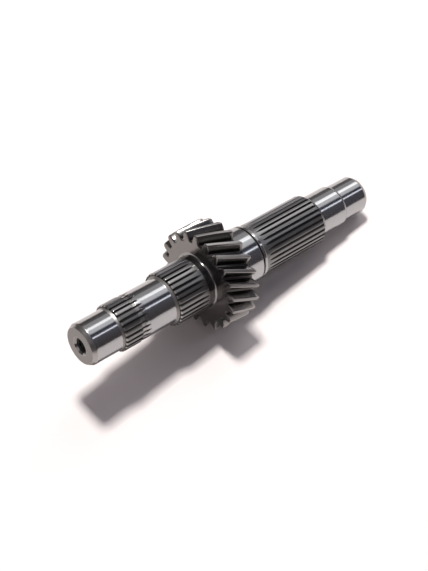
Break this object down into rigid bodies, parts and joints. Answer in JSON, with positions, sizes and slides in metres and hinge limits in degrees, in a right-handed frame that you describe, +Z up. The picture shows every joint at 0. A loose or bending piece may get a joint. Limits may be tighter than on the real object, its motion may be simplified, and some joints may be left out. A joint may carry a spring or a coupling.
{
  "type": "countershaft",
  "caption": "Gearbox countershaft in one piece: a helical pinion between splined sections, with ground bearing journals and a tapped front end.",
  "frame": {"origin": "on the ground, below the middle of the bounding box of the shaft lying at rest", "axes": "+X towards the tail along the ground, +Y to its side, +Z up; the shaft's own axis dips towards the tail"},
  "size_m": [0.2122, 0.061, 0.063],
  "materials": {
    "steel": "hardened steel: ground journals, hobbed splines and teeth, turned faces"
  },
  "bodies": {
    "root": {"countershaft": "steel"}
  },
  "joints": []
}
